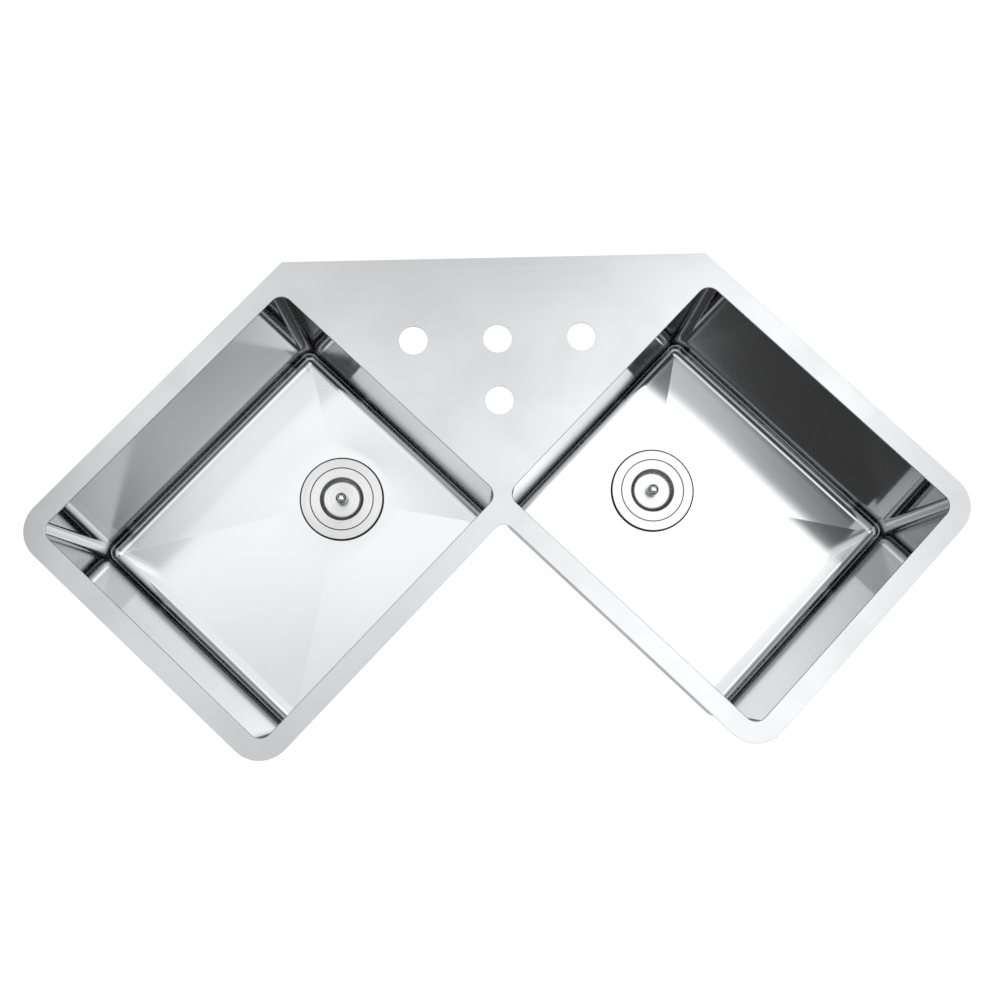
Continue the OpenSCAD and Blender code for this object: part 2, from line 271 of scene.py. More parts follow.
def arc_points(centre, radius, start, end, steps, sign=1):
    """An arc between two angles in degrees, with sign -1 where it is the edge of a hole."""
    points = []
    for k in range(steps + 1):
        angle = radians(start + (end - start) * k / steps)
        c, s = cos(angle), sin(angle)
        points.append(((centre[0] + radius * c, centre[1] + radius * s), (sign * c, sign * s)))
    return points


def round_corner(before, here, after, radius, steps, sign=1):
    """The arc that rounds a corner of an outline, with sign -1 where the corner is hollow."""
    before, here, after = Vector(before), Vector(here), Vector(after)
    back = (before - here).normalized()
    on = (after - here).normalized()
    half = back.angle(on) / 2
    centre = here + (back + on).normalized() * radius / sin(half)
    first = here + back * radius / tan(half) - centre
    last = here + on * radius / tan(half) - centre
    swing = atan2(first.cross(last), first.dot(last))
    arms = [rotated(first, swing * k / steps) for k in range(steps + 1)]
    return [(tuple(centre + arm), tuple(arm.normalized() * sign)) for arm in arms]


def is_metal(middle, places, edges):
    """Whether a point of the plan lies between the outer ring and the holes."""
    crossed = 0
    for i, k in edges:
        p, q = places[i], places[k]
        if (p.y > middle.y) != (q.y > middle.y):
            crossed += middle.x < p.x + (q.x - p.x) * (middle.y - p.y) / (q.y - p.y)
    return crossed % 2 == 1


def fill(rings, loose=()):
    """Triangles between an outer ring and its holes, through loose points as well."""
    places = []
    edges = []
    for ring in rings:
        clean = [p for i, p in enumerate(ring) if dist(p[:2], ring[i - 1][:2]) > 1e-4]
        first = len(places)
        places.extend(Vector(p[:2]) for p in clean)
        edges.extend((first + i, first + (i + 1) % len(clean)) for i in range(len(clean)))
    everything = places + [Vector(p) for p in loose]
    found, _, faces, *_ = geometry.delaunay_2d_cdt(everything, edges, [], 1, 1e-5)
    for triangle in faces:
        middle = sum((found[i] for i in triangle), Vector((0, 0))) / len(triangle)
        if is_metal(middle, places, edges):
            yield [(found[i].x, found[i].y) for i in triangle]


def plate(skin, loops, top, bottom, steps=4):
    """A flat plate, its underside in the second finish; loops are (outline, upper edge's radius)."""
    caps = {top: [], bottom: []}
    for loop, edge in loops:
        levels = [(edge, top, -1, pi / 2 * (1 - k / steps)) for k in range(steps + 1)]
        levels += [(UNDER_EDGE_R, bottom, 1, -pi / 2 * k / steps) for k in range(steps + 1)]
        grid = []
        for radius, face, way, tilt in levels:
            c, s = cos(tilt), sin(tilt)
            inset = radius * (1 - c)
            z = face + way * radius * (1 - abs(s))
            row = []
            for (x, y), (nx, ny) in loop:
                size = hypot(nx, ny)
                x, y = x - nx * inset, y - ny * inset
                row.append(((x, y, z), (nx / size * c, ny / size * c, s), (x, y)))
            grid.append(row)
        skin.grid(grid, wrap=True)
        caps[top].append([place for place, _, _ in grid[0]])
        caps[bottom].append([place for place, _, _ in grid[-1]])
    for z, up in ((top, 1), (bottom, -1)):
        skin.paint = int(z == bottom)
        for triangle in fill(caps[z]):
            skin.face([((x, y, z), (0, 0, up), (x, y)) for x, y in triangle])


def bowl_mouth(side):
    """The rounded outline of a bowl's mouth in the deck."""
    half_u = BOWL_L / 2 - BOWL_R
    half_v = BOWL_W / 2 - BOWL_R
    points = []
    for su, sv, start in QUARTERS:
        centre = (su * half_u, sv * half_v)
        for place, normal in arc_points(centre, BOWL_R, start, start + 90, CORNER_STEPS, sign=-1):
            points.append((in_bowl(side, *place), turn_bowl(side, *normal)))
    return points


def make_deck():
    skin = Skin()
    # The two back corners stay sharp, so their normals reach to the mitre
    lean = radians(67.5)
    mitre = 1 / cos(radians(22.5))
    corners = [
        (BACK_X, ROW_TO_BACK), (-BACK_X, ROW_TO_BACK), spot(RIM_A, RIM_B, -1), spot(0, RIM_B, -1),
        (0, -ROW_TO_NOTCH), spot(0, RIM_B, 1), spot(RIM_A, RIM_B, 1),
    ]
    outer = []
    for side in (1, -1):
        outer.append(((side * BACK_X, ROW_TO_BACK), (side * cos(lean) * mitre, sin(lean) * mitre)))
    for before, here, after in zip(corners[1:], corners[2:], corners[3:] + corners[:1]):
        bend = (NOTCH_R, NOTCH_STEPS, -1) if here[0] == 0 else (RIM_R, RIM_STEPS)
        outer += round_corner(before, here, after, *bend)
    loops = [(outer, SHEET_EDGE_R)] + [(bowl_mouth(side), MOUTH_EDGE_R) for side in SIDES]
    for centre in ((-TAP_PITCH, 0), (0, 0), (TAP_PITCH, 0), (0, -TAP_FRONT)):
        loops.append((arc_points(centre, TAP_R, 0, 360, TAP_STEPS, sign=-1)[:-1], TAP_EDGE_R))
    plate(skin, loops, 0, -DECK_T)
    return skin


def bowl_level(inset, radius):
    """One level of a bowl as (u, v, normal u, normal v, distance round), with the corners closed."""
    half_u = BOWL_L / 2 - inset - radius
    half_v = BOWL_W / 2 - inset - radius
    quarter = BOWL_R * pi / 2
    arcs = []
    for su, sv, start in QUARTERS:
        arcs.append(arc_points((su * half_u, sv * half_v), radius, start, start + 90, CORNER_STEPS))
    ring = []
    travelled = 0.0
    for k, arc in enumerate(arcs):
        for j, (place, normal) in enumerate(arc):
            ring.append((*place, *normal, travelled + quarter * j / CORNER_STEPS))
        travelled += quarter
        (u, v), normal = arc[-1]
        goal_u, goal_v = arcs[(k + 1) % 4][0][0]
        length = (BOWL_W if k % 2 else BOWL_L) - 2 * BOWL_R
        for j in range(1, SIDE_STEPS):
            share = j / SIDE_STEPS
            place = (u + (goal_u - u) * share, v + (goal_v - v) * share)
            ring.append((*place, *normal, travelled + length * share))
        travelled += length
    ring.append((*ring[0][:4], travelled))
    return ring


def floor_height(u, v):
    """Height of the creased floor: straight lines run from its edge to the flat round the drain."""
    du = u - DRAIN_U
    away = hypot(du, v)
    edge_u = (copysign(BOWL_L / 2 - FOOT_R, du) - DRAIN_U) / du if abs(du) > 1e-9 else 1e9
    edge_v = copysign(BOWL_W / 2 - FOOT_R, v) / v if abs(v) > 1e-9 else 1e9
    reach = away * min(edge_u, edge_v)
    share = max(0.0, min(1.0, (away - FLAT_R) / (reach - FLAT_R)))
    return FLOOR_Z + FLOOR_FALL * share


def floor_normal(u, v, inward):
    """Normal of the panel that the point lies on, taken a little towards its middle."""
    step = 0.05
    u += inward[0] * step * 4
    v += inward[1] * step * 4
    slope_u = (floor_height(u + step, v) - floor_height(u - step, v)) / (2 * step)
    slope_v = (floor_height(u, v + step) - floor_height(u, v - step)) / (2 * step)
    return Vector((-slope_u, -slope_v, 1)).normalized()


def bowl_side(skin, side, grow, facing):
    """The inside (facing 1) or outside (facing -1) of a bowl; gives its topmost row."""

    def corner(u, v, z, normal, uv):
        nx, ny = turn_bowl(side, normal[0], normal[1])
        return ((*in_bowl(side, u, v), z), (facing * nx, facing * ny, facing * normal[2]), uv)

    levels = [(z, 0.0, BOWL_R, 0.0) for z in (-DECK_T, -12, -BOWL_DEPTH / 2)]
    for k in range(BEND_STEPS + 1):
        tilt = pi / 2 * k / BEND_STEPS
        inset = FOOT_R * (1 - cos(tilt))
        levels.append((FOOT_R - BOWL_DEPTH - FOOT_R * sin(tilt), inset, min(BOWL_R, FOOT_R - inset), tilt))
    rows = []
    for z, inset, radius, tilt in levels:
        row = []
        down = -z if tilt == 0 else BOWL_DEPTH - FOOT_R + FOOT_R * tilt
        for u, v, nu, nv, along in bowl_level(inset, radius):
            out = (nu * cos(tilt), nv * cos(tilt), -sin(tilt))
            normal = [-size for size in out]
            if tilt > 1.5:
                normal = floor_normal(u, v, (-nu, -nv))
            row.append(corner(u + out[0] * grow, v + out[1] * grow, z + out[2] * grow, normal, (along, down)))
        rows.append(row)
    skin.grid(rows)
    # Floor: straight rays from its edge to the drain hole, with a crease at each corner
    ring = bowl_level(FOOT_R, 0.0)
    for here, following in zip(ring, ring[1:]):
        if dist(here[:2], following[:2]) < 1e-6:
            continue
        middle = Vector(((here[0] + following[0]) / 2, (here[1] + following[1]) / 2))
        columns = []
        for u, v, *_ in (here, following):
            ray = Vector((u - DRAIN_U, v))
            reach = ray.length
            ray.normalize()
            inward = (middle - Vector((u, v))).normalized()
            column = []
            for share in (0.0, 0.06, 0.2, 0.4, 0.6, 0.8, 1.0):
                away = reach + (FLAT_R - reach) * share
                place = (DRAIN_U + ray.x * away, ray.y * away)
                normal = floor_normal(*place, inward) if share < 1 else (0, 0, 1)
                column.append(corner(*place, FLOOR_Z + FLOOR_FALL * (1 - share) - grow, normal, place))
            place = (DRAIN_U + ray.x * DRAIN_R, ray.y * DRAIN_R)
            column.append(corner(*place, FLOOR_Z - grow, (0, 0, 1), place))
            columns.append(column)
        skin.grid(columns)
    return rows[0]


def make_bowl(side):
    skin = Skin()
    inside = bowl_side(skin, side, 0.0, 1)
    skin.paint = 1
    outside = bowl_side(skin, side, BOWL_T, -1)
    skin.grid([[(place, (0, 0, 1), uv) for place, _, uv in row] for row in (inside, outside)])
    rim = []
    for u, v, *_ in bowl_level(FOOT_R, 0.0):
        ray = Vector((u - DRAIN_U, v)).normalized()
        place = in_bowl(side, DRAIN_U + ray.x * DRAIN_R, ray.y * DRAIN_R)
        rim.append((place, (*turn_bowl(side, -ray.x, -ray.y), 0)))
    skin.grid([[((*p, FLOOR_Z - down), n, (p[0], down)) for p, n in rim] for down in (0.0, BOWL_T)])
    return skin


# Strainer: heights are above the floor of the bowl

FLANGE_R = 59.2
FLANGE_EDGE = 1.6
FLANGE_TOP = 4.2
# Width of the band of painted shade on the flange's top, inward of its pressed edge
SHADE_PAINT_BAND = 0.85
BODY_T = 1.2
POCKET_R = 44.4
LID_R = 43.8
LID_HOLE_R = 2.55
SEAT_Z = 3.2
THROAT_R = 42.4
CUP_R = 39.0
SHANK_R = 43.6
CUP_Z = -64.0
OUTLET_Z = -84.0
OUTLET_R = 23.5
BORE_R = 19.0
DISH_Z = FLANGE_TOP - 7
DISH_R = 30.5
DISH_FLOOR_R = 25.8
KNOB_R = 8.0
NECK_R = 2.8
NECK_Z = DISH_Z + 1
STUD_R = 2.25
FLATNESS = 2.5


def thread(radius, low, high, pitch=2.0, depth=0.6, round_r=0.12):
    """Points of a rolled thread that runs up a turned outline."""
    points = []
    for k in range(int((high - low) / pitch)):
        z = low + (k + 0.25) * pitch
        points += [(radius - cut, z + pitch * up, round_r) for cut, up in ((0, 0), (depth, 0.4), (0, 0.8))]
    return points


def make_strainer_body(side):
    """The body, with its pressed edge and the gap round the lid in a dark, unbrushed paint: painted shade,
    with a painted dark reflection at the edge.
    """
    edge_r = FLANGE_R - FLANGE_EDGE
    pocket_r = POCKET_R + 0.3
    profile = [
        (FLANGE_R, 0.3, 0.2), (FLANGE_R, 1.9, 0.8), (edge_r, FLANGE_TOP, 0.9),
        (edge_r - SHADE_PAINT_BAND, FLANGE_TOP, 0), (pocket_r, FLANGE_TOP, 0.3), (pocket_r, SEAT_Z, 0),
        (THROAT_R, SEAT_Z, 0.4), (THROAT_R, -8, 0), (CUP_R, -8, 0.6), (CUP_R, -57, 4), (BORE_R, CUP_Z, 1.5),
        (BORE_R, OUTLET_Z, 0.4), (OUTLET_R, OUTLET_Z, 0.4), *thread(OUTLET_R, OUTLET_Z + 0.4, -66.5),
        (OUTLET_R, -65.2, 0.4), (CUP_R + BODY_T, -58.2, 4), (CUP_R + BODY_T, -30, 0.4), (SHANK_R, -30, 0.4),
        *thread(SHANK_R, -29.6, -18.6), (SHANK_R, 2, 0.3), (POCKET_R + BODY_T, 2, 0.3),
        (POCKET_R + BODY_T, 3, 0.4), (edge_r - BODY_T, 3, 0.6), (FLANGE_R - BODY_T, 1.7, 0.5),
        (FLANGE_R - BODY_T, 0.3, 0.2),
    ]

    # The flange's edge with a band of its top, and the gap round the lid, take the dark paint: painted shade,
    # with a painted dark reflection at the edge
    def takes_shade_paint(middle):
        in_gap_shade = THROAT_R < middle.x < pocket_r + 0.2 and SEAT_Z - 0.5 < middle.y < FLANGE_TOP - 0.1
        return middle.x > edge_r - SHADE_PAINT_BAND or in_gap_shade

    return make_turned(side, profile, 128, takes_shade_paint)


def make_lid(side):
    """The dished lid, its rim in a dark, unbrushed paint that stands for the shade of the gap round it."""
    rim_r = LID_R - 0.25
    profile = [
        (LID_HOLE_R, DISH_Z - 1, 0.2), (DISH_FLOOR_R + 1, DISH_Z - 1, 4.8), (DISH_R + 1, SEAT_Z, 2.2),
        (rim_r, SEAT_Z, 0.2), (rim_r, FLANGE_TOP, 0.3), (DISH_R, FLANGE_TOP, 1.3), (DISH_FLOOR_R, DISH_Z, 4),
        (LID_HOLE_R, DISH_Z, 0.2),
    ]
    # The rim takes the dark paint, as painted shade of the gap round the lid
    return make_turned(side, profile, 128, lambda middle: middle.x > rim_r - 0.15)


def make_knob(side):
    """A ball, a little flat above, on a neck and collar, with a stud through the lid."""
    steps = 36
    ball = Vector((0, NECK_Z + 1.5 + KNOB_R))
    places = [(ball + Vector((0, KNOB_R)), Vector((0, 1)))]
    for k in range(1, steps + 1):
        angle = pi / 2 - (pi - asin(NECK_R / KNOB_R)) * k / steps
        c, s = max(0.0, cos(angle)), sin(angle)
        size = 1.0
        normal = Vector((c, s))
        if s > 0:
            size = (c ** FLATNESS + s ** FLATNESS) ** (-1 / FLATNESS)
            normal = Vector(((c * size) ** (FLATNESS - 1), (s * size) ** (FLATNESS - 1))).normalized()
        places.append((ball + Vector((c, s)) * size * KNOB_R, normal))
    low = places[-1][0]
    stem = [
        (0, DISH_Z - 5, 0), (STUD_R - 0.4, DISH_Z - 5, 0), (STUD_R, DISH_Z - 4.6, 0), (STUD_R, DISH_Z, 0),
        (4.5, DISH_Z, 0), (4.5, NECK_Z, 0.6), (NECK_R, NECK_Z, 0), (low.x, low.y, 0),
    ]
    # The stem's strips run up it, and its last one closes its outline inside the ball
    down = [(high, low) for low, high in reversed(rounded_profile(stem, 5)[:-1])]
    skin = Skin()
    turn(skin, [*zip(places, places[1:]), *down], DRAINS[side], 64)
    return skin


# Nodes


def wire(node, **values):
    """Sets or links a node's inputs, by name or as i0, i1; a node stands for its first output."""
    for key, value in values.items():
        socket = node.inputs[int(key[1:])] if key[1:].isdigit() else node.inputs[key.replace("_", " ")]
        if isinstance(value, bpy.types.Node):
            value = value.outputs[0]
        if isinstance(value, bpy.types.NodeSocket):
            node.id_data.links.new(value, socket)
        else:
            socket.default_value = value
    return node


def put(tree, kind, settings=None, **values):
    """Adds a node, a shader one unless its kind says so, sets it, and wires its inputs."""
    node = tree.nodes.new(kind if "Node" in kind else f"ShaderNode{kind}")
    for key, value in (settings or {}).items():
        setattr(node, key, value)
    return wire(node, **values)


def maths(tree, operation, *values):
    inputs = {f"i{k}": value for k, value in enumerate(values)}
    return put(tree, "Math", {"operation": operation}, **inputs)


def ramp(tree, value, low, high, at_low, at_high, soft=False):
    """Carries a value from one range to another, and holds it there."""
    easing = {"interpolation_type": "SMOOTHSTEP"} if soft else {}
    return put(tree, "MapRange", easing, i0=value, i1=low, i2=high, i3=at_low, i4=at_high)


def scaled(tree, vector, factors):
    return put(tree, "VectorMath", {"operation": "MULTIPLY"}, i0=vector, i1=factors)


def noise(tree, vector, scale, detail, roughness):
    return put(tree, "TexNoise", Vector=vector, Scale=scale, Detail=detail, Roughness=roughness)


def use(tree, group, **values):
    """Places a shader group in a tree."""
    return put(tree, "Group", {"node_tree": group}, **values)


def new_socket(tree, label, kind, way="INPUT"):
    return tree.interface.new_socket(label, in_out=way, socket_type=f"NodeSocket{kind}")


def new_group(name, inputs, outputs):
    """An empty shader group, its inputs and its outputs; an input without a value is a vector."""
    tree = bpy.data.node_groups.new(name, "ShaderNodeTree")
    for label, value in inputs.items():
        if value is None:
            new_socket(tree, label, "Vector")
        else:
            new_socket(tree, label, "Float").default_value = value
    for label in outputs:
        new_socket(tree, label, "Float", "OUTPUT")
    return tree, tree.nodes.new("NodeGroupInput").outputs, tree.nodes.new("NodeGroupOutput")


# Materials


def brushed_grain():
    """Long fine scratches: Tone swings round 0.5."""
    inputs = {"Vector": None, "Along": 6.0, "Across": 900.0}
    tree, given, result = new_group("brushed_grain", inputs, ["Tone"])
    scale = put(tree, "CombineXYZ", X=given["Along"], Y=given["Across"], Z=given["Across"])
    stretched = scaled(tree, given["Vector"], scale)
    fine = noise(tree, scaled(tree, stretched, (1, 0.4, 0.4)), 1, 4, 0.75)
    wide = noise(tree, scaled(tree, stretched, (0.35, 0.08, 0.08)), 1, 2, 0.5)
    wire(result, Tone=maths(tree, "MULTIPLY_ADD", wide, 0.4, maths(tree, "MULTIPLY", fine, 0.6)))
    return tree


def soft_marks():
    """Faint uneven patches, as handling and water leave on metal: Marks runs from 0 to 1."""
    tree, given, result = new_group("soft_marks", {"Vector": None, "Size": 12.0}, ["Marks"])
    cloud = noise(tree, given["Vector"], given["Size"], 4, 0.55)
    wire(result, Marks=ramp(tree, cloud, 0.35, 0.7, 0, 1, soft=True))
    return tree


def mottled():
    """Uneven colour and a fine skin, as on rubber or castings: Tone from 0 to 1, Height for a bump."""
    inputs = {"Vector": None, "Grain": 900.0, "Patches": 30.0, "Share": 0.5}
    tree, given, result = new_group("mottled", inputs, ["Tone", "Height"])
    fine = noise(tree, given["Vector"], given["Grain"], 3, 0.6)
    patch = noise(tree, given["Vector"], given["Patches"], 5, 0.6)
    pits = put(tree, "TexVoronoi", Vector=given["Vector"], Scale=given["Grain"])
    mix = put(tree, "Mix", {"data_type": "FLOAT"}, i0=given["Share"], i2=fine, i3=patch)
    wire(result, Tone=ramp(tree, mix, 0.3, 0.7, 0, 1, soft=True), Height=maths(tree, "ADD", fine, pits))
    return tree


GRAIN = brushed_grain()
MARKS = soft_marks()
MOTTLED = mottled()
MARK_SIZE = 9
# A reflection seen in others is duller and sharper, so that bowls that mirror themselves stay free of noise
FADE_FROM, FADE_TO, FADED = 1, 3.5, 0.3
SHARPENED = -0.75


def emptied(owner):
    """The emptied tree of a material or world."""
    owner.use_nodes = True
    owner.node_tree.nodes.clear()
    return owner.node_tree


def new_material(name):
    """A material, its tree and its shader."""
    material = bpy.data.materials.new(name)
    tree = emptied(material)
    shader = put(tree, "BsdfPrincipled")
    put(tree, "OutputMaterial", Surface=shader)
    return material, tree, shader


def metal(name, colour, rough, spread, along, across, waves=0, aniso=0, tone=0.06, marks=0.05):
    """Brushed metal whose scratches follow the piece's own map; waves are the sheet's own, in metres."""
    material, tree, shader = new_material(name)
    place = put(tree, "TexCoord").outputs["Object"]
    path = put(tree, "LightPath").outputs
    uv = put(tree, "UVMap", {"uv_map": "brush"})
    grain = use(tree, GRAIN, Vector=uv, Along=along, Across=across)
    patch = use(tree, MARKS, Vector=place, Size=MARK_SIZE)
    dark, light = ((*(min(1, c * (1 + swing)) for c in colour), 1) for swing in (-tone, tone))
    mix = put(tree, "Mix", {"data_type": "RGBA"}, i0=grain, i6=dark, i7=light).outputs[2]
    fade = ramp(tree, path["Ray Depth"], FADE_FROM, FADE_TO, 1, FADED)
    seen = scaled(tree, mix, fade)
    level = ramp(tree, grain, 0.25, 0.75, rough - spread, rough + spread)
    worn = maths(tree, "MULTIPLY_ADD", patch, marks, level)
    share = maths(tree, "MULTIPLY_ADD", path["Is Glossy Ray"], SHARPENED, 1)
    wire(shader, Base_Color=seen, Roughness=maths(tree, "MULTIPLY", worn, share))
    wire(shader, Metallic=1, Anisotropic=aniso, Anisotropic_Rotation=0.25)
    if aniso:
        wire(shader, Tangent=put(tree, "Tangent", {"direction_type": "UV_MAP", "uv_map": "brush"}))
    if waves:
        swell = noise(tree, place, 14, 1, 0.4)
        wire(shader, Normal=put(tree, "Bump", Strength=1, Distance=waves, Height=swell))
    return material


def dull(name, dark, light, rough, spread, grain, patches, share, bump, metallic=0, scale=(1, 1, 1)):
    """A rubber, fibre, plastic or cast finish."""
    material, tree, shader = new_material(name)
    place = put(tree, "TexCoord").outputs["Object"]
    mapped = put(tree, "Mapping", Vector=place, Scale=scale)
    skin = use(tree, MOTTLED, Vector=mapped, Grain=grain, Patches=patches, Share=share).outputs
    mix = put(tree, "Mix", {"data_type": "RGBA"}, i0=skin["Tone"], i6=(*dark, 1), i7=(*light, 1))
    level = ramp(tree, skin["Tone"], 0, 1, rough - spread, rough + spread)
    relief = put(tree, "Bump", Strength=bump, Distance=0.0002, Height=skin["Height"])
    wire(shader, Base_Color=mix.outputs[2], Roughness=level, Metallic=metallic, Normal=relief)
    return material


# Metals: colour, roughness and its spread, scratches a metre along and across the grain
METALS = {
    "deck_steel": ((0.692, 0.697, 0.711), 0.2, 0.03, 7, 1100, {"waves": 0.00005, "aniso": 0.8, "tone": 0.1}),
    "bowl_steel": (
        (0.708, 0.712, 0.722), 0.09, 0.015, 7, 1100,
        {"waves": 0.00002, "aniso": 0.85, "tone": 0.05, "marks": 0.01},
    ),
    "mill_steel": ((0.5, 0.5, 0.497), 0.36, 0.06, 30, 260, {"tone": 0.2, "marks": 0.14}),
    "strainer_steel": ((0.76, 0.763, 0.77), 0.2, 0.04, 7, 700, {"aniso": 0.75, "tone": 0.45}),
    # Dark paint, not the steel's own colour: painted shade at the strainer's edge and gaps, and a painted
    # dark reflection at the flange's edge
    "painted_shade_steel": ((0.15, 0.15, 0.152), 0.42, 0.06, 30, 400, {"tone": 0.2}),
    "knob_chrome": ((0.86, 0.865, 0.87), 0.06, 0.01, 30, 300, {"tone": 0.02, "marks": 0.03}),
    "plated_pipe": ((0.80, 0.805, 0.81), 0.13, 0.03, 900, 12, {"tone": 0.03, "marks": 0.08}),
    "basket_steel": ((0.68, 0.68, 0.675), 0.3, 0.05, 8, 900, {"aniso": 0.4, "tone": 0.06, "marks": 0.08}),
}
# Dull finishes: dark and light, roughness and its spread, grain and patches a metre, share of patches, bump
DULLS = {
    "cast_metal": ((0.42, 0.42, 0.41), (0.58, 0.575, 0.56), 0.45, 0.08, 700, 25, 0.6, 0.35, {"metallic": 1}),
    "seal_rubber": ((0.018, 0.018, 0.02), (0.045, 0.045, 0.047), 0.6, 0.1, 1400, 40, 0.5, 0.2, {}),
    "pad_rubber": ((0.05, 0.052, 0.055), (0.095, 0.097, 0.1), 0.82, 0.08, 1100, 18, 0.45, 0.5, {}),
    "fibre": ((0.2, 0.1, 0.06), (0.42, 0.26, 0.16), 0.85, 0.06, 800, 60, 0.35, 0.4, {"scale": (1, 0.35, 1)}),
    "washer_plastic": ((0.74, 0.74, 0.71), (0.86, 0.86, 0.84), 0.42, 0.06, 600, 50, 0.7, 0.05, {}),
}
FINISHES = {name: metal(name, *values, **more) for name, (*values, more) in METALS.items()}
FINISHES.update({name: dull(name, *values, **more) for name, (*values, more) in DULLS.items()})

# Turned pieces of the strainer, as (r, z, radius of the corner)

GASKET = [
    (56, 0, 0.4), (56, 1.1, 0.2), (55.55, 1.5, 0.2), (56, 1.9, 0.2), (56, 3, 0.4), (46.4, 3, 0.4),
    (46.4, 0, 0.4),
]
RUBBER_WASHER = [
    (55, -4.2, 0.4), (55, -3.5, 0.15), (54.5, -3.2, 0.15), (55, -2.9, 0.15), (55, -2.5, 0.15),
    (54.5, -2.2, 0.15), (55, -1.9, 0.15), (55, -1.2, 0.4), (44, -1.2, 0.4), (44, -4.2, 0.4),
]
FRICTION_RING = [(55, -5.2, 0.2), (55, -4.2, 0.2), (44, -4.2, 0.2), (44, -5.2, 0.2)]
LOCK_NUT = [
    (51.65, -18.2, 0.8), (51.65, -8.2, 1), (55, -8.2, 0.6), (55, -5.2, 0.4), (43.65, -5.2, 0.5),
    (43.65, -18.2, 0.8),
]
TAIL_WASHER = [(23.2, -85.5, 0.3), (23.2, -84, 0.3), (19.3, -84, 0.3), (19.3, -85.5, 0.3)]
TAILPIECE = [
    (19.05, -190, 0.25), (19.05, -90.4, 0.3), (19.45, -90, 0.1), (19.45, -87, 0.3), (23.2, -87, 0.4),
    (23.2, -85.5, 0.4), (17.85, -85.5, 0.6), (17.85, -190, 0.25),
]
COUPLING_NUT = [
    (27.05, -90, 1), (27.05, -72, 0.8), (23.55, -72, 0.4), (23.55, -87, 0), (19.75, -87, 0.2),
    (19.75, -90, 0.5),
]
LID_SEAL = [(39.5, -0.8, 0.5), (42, 1.2, 0.5), (42, 3.2, 0.2), (37, 3.2, 0.2), (37, -0.8, 0.5)]
# Blocks to grip the nuts by, as opposite corners
LOCK_NUT_LUG = ((50.65, -4.5, -18.2), (54.65, 4.5, -8))
COUPLING_NUT_GRIP = ((25.8, -3.5, -89.7), (28.3, 3.5, -72.3))
GRIPS = 8
GRIP_EDGE_R = 0.8
PAD_EDGE_R = 0.3


# Trees that repeat a shape


def geometry_tree(name, inputs):
    """A tree that takes a mesh, named values and a material; gives it and its inputs."""
    tree = bpy.data.node_groups.new(name, "GeometryNodeTree")
    new_socket(tree, "Geometry", "Geometry")
    for label, value in inputs.items():
        new_socket(tree, label, "Int" if isinstance(value, int) else "Float").default_value = value
    new_socket(tree, "Material", "Material")
    new_socket(tree, "Geometry", "Geometry", "OUTPUT")
    return tree, tree.nodes.new("NodeGroupInput").outputs


def finish_tree(tree, given, instances):
    """Ends a tree: real mesh, welded, with its material."""
    real = put(tree, "GeometryNodeRealizeInstances", i0=instances)
    welded = put(tree, "GeometryNodeMergeByDistance", Geometry=real, Distance=0.000001)
    made = put(tree, "GeometryNodeSetMaterial", Geometry=welded, Material=given["Material"])
    put(tree, "NodeGroupOutput", i0=made)
    return tree


def repeat_round_tree():
    """Repeats the piece's own mesh round the upright axis."""
    tree, given = geometry_tree("repeat_round", {"Count": 8})
    line = put(tree, "GeometryNodeMeshLine", Count=given["Count"], Offset=(0, 0, 0))
    share = maths(tree, "DIVIDE", put(tree, "GeometryNodeInputIndex"), given["Count"])
    spin = put(tree, "CombineXYZ", Z=maths(tree, "MULTIPLY", share, 2 * pi))
    copies = put(tree, "GeometryNodeInstanceOnPoints", Points=line, Instance=given["Geometry"], Rotation=spin)
    return finish_tree(tree, given, copies)


def ribbed_pad_tree():
    """A flat pad with ribs across it: it lies on its underside, with a corner at the origin."""
    tree, given = geometry_tree("ribbed_pad", {
        "Length": 0.24, "Width": 0.11, "Thickness": 0.0013, "Rib Pitch": 0.01, "Rib Width": 0.005,
        "Rib Height": 0.0007, "Margin": 0.005, "Bends": 2,
    })
    _, length, width, thickness, pitch, rib_w, rib_h, margin, bends, *_ = given
    size = put(tree, "CombineXYZ", X=length, Y=width, Z=thickness)
    slab = put(tree, "GeometryNodeMeshCube", i0=size, i1=bends, i2=bends)
    half = scaled(tree, size, (0.5, 0.5, 0.5))
    placed = put(tree, "GeometryNodeTransform", Geometry=slab, Translation=half)
    margins = maths(tree, "MULTIPLY", margin, 2)
    room = maths(tree, "SUBTRACT", maths(tree, "SUBTRACT", length, margins), rib_w)
    count = maths(tree, "FLOOR", maths(tree, "DIVIDE", room, pitch))
    spare = maths(tree, "SUBTRACT", length, maths(tree, "MULTIPLY", count, pitch))
    middle = maths(tree, "MULTIPLY", width, 0.5)
    start = put(tree, "CombineXYZ", X=maths(tree, "MULTIPLY", spare, 0.5), Y=middle, Z=thickness)
    step = put(tree, "CombineXYZ", X=pitch)
    line = put(tree, "GeometryNodeMeshLine", Count=maths(tree, "ADD", count, 1), i2=start, Offset=step)
    span = maths(tree, "SUBTRACT", width, margins)
    rib_size = put(tree, "CombineXYZ", X=rib_w, Y=span, Z=maths(tree, "MULTIPLY", rib_h, 2))
    rib = put(tree, "GeometryNodeMeshCube", i0=rib_size, i1=2, i2=bends)
    ribs = put(tree, "GeometryNodeInstanceOnPoints", Points=line, Instance=rib)
    both = put(tree, "GeometryNodeJoinGeometry", i0=ribs)
    wire(both, i0=placed)
    return finish_tree(tree, given, both)


